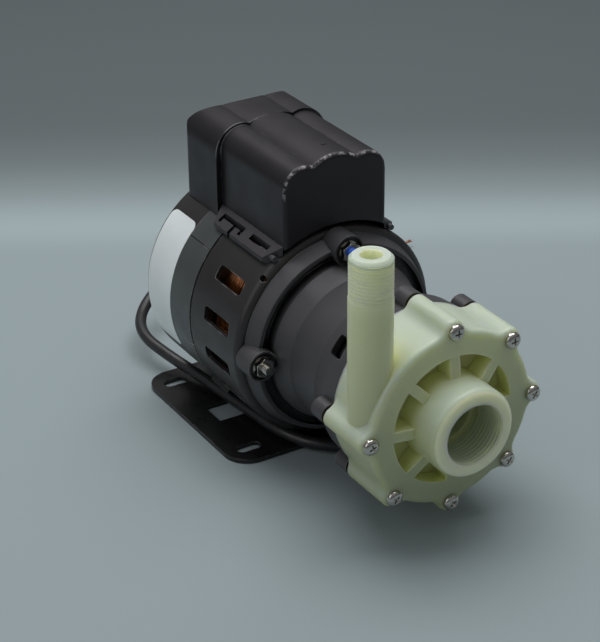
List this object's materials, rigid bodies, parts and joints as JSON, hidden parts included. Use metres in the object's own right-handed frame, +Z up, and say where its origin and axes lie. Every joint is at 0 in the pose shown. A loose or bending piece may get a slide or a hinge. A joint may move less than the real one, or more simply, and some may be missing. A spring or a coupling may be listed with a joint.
{
  "type": "magnetic drive pump",
  "caption": "Electric pump: an open motor on a slotted base turns a sealed plastic pump head through a magnet coupling, with a threaded inlet, an upright outlet and a power cord.",
  "frame": {"origin": "middle of the four foot slots, on the underside of the base plate", "axes": "+X along the shaft towards the inlet, +Z up along the outlet, +Y to the right as seen from the inlet"},
  "size_m": [0.3242, 0.2261, 0.1633],
  "materials": {
    "plate_black": "gloss",
    "bell_dark": "satin",
    "band_grey": "satin",
    "bracket_black": "satin",
    "cover_black": "satin",
    "clip_grey": "matte",
    "pin_grey": "matte",
    "natural_plastic": "satin, slightly translucent",
    "wet_plastic": "satin",
    "stainless": "satin",
    "shaft_steel": "ground",
    "core_steel": "raw laminations",
    "rotor_aluminium": "cast",
    "enamelled_copper": "enamelled wire",
    "copper": "bare",
    "sintered_bronze": "sintered",
    "fan_plastic": "matte",
    "magnet_ferrite": "ground",
    "white_ceramic": "polished",
    "carbon_bushing": "ground",
    "capacitor_case": "drawn",
    "seal_rubber": "matte",
    "cord_rubber": "satin",
    "label_paper": "satin"
  },
  "bodies": {
    "pump": {"base_plate": "plate_black", "rear_bell": "bell_dark", "stator_shell": "band_grey", "front_bell": "bell_dark", "rating_label": "label_paper", "stator_core": "core_steel", "stator_windings": "enamelled_copper", "rear_bearing": "sintered_bronze", "front_bearing": "sintered_bronze", "through_bolts": "stainless", "bolt_nuts": "stainless", "lock_washers": "stainless", "motor_bracket": "bracket_black", "terminal_cover": "cover_black", "left_clip": "clip_grey", "right_clip": "clip_grey", "clip_pins": "pin_grey", "run_capacitor": "capacitor_case", "rear_housing": "wet_plastic", "housing_seal": "seal_rubber", "spindle": "white_ceramic", "thrust_washers": "white_ceramic", "pump_housing": "natural_plastic", "housing_screws": "stainless", "strain_relief": "seal_rubber", "cord_lead": "cord_rubber", "cord_tail": "cord_rubber", "cord_coil": "cord_rubber", "cord_conductors": "cord_rubber", "bare_wire_ends": "copper"},
    "drive_rotor": {"motor_shaft": "shaft_steel", "rotor_core": "rotor_aluminium", "cooling_fan": "fan_plastic", "thrust_collars": "shaft_steel", "drive_cup": "core_steel", "drive_magnet": "magnet_ferrite", "drive_set_screws": "stainless"},
    "impeller_rotor": {"impeller": "wet_plastic", "impeller_magnet": "magnet_ferrite", "impeller_bushing": "carbon_bushing"}
  },
  "joints": [
    {"name": "rotor_spin", "type": "hinge", "parent": "pump", "child": "drive_rotor", "pos_m": [0, 0, 0.0635], "axis": [1, 0, 0], "continuous": true},
    {"name": "impeller_spin", "type": "hinge", "parent": "pump", "child": "impeller_rotor", "pos_m": [0.11, 0, 0.0635], "axis": [1, 0, 0], "continuous": true}
  ],
  "couplings": [
    {"joint": "impeller_spin", "follows": "rotor_spin", "ratio": 1}
  ]
}
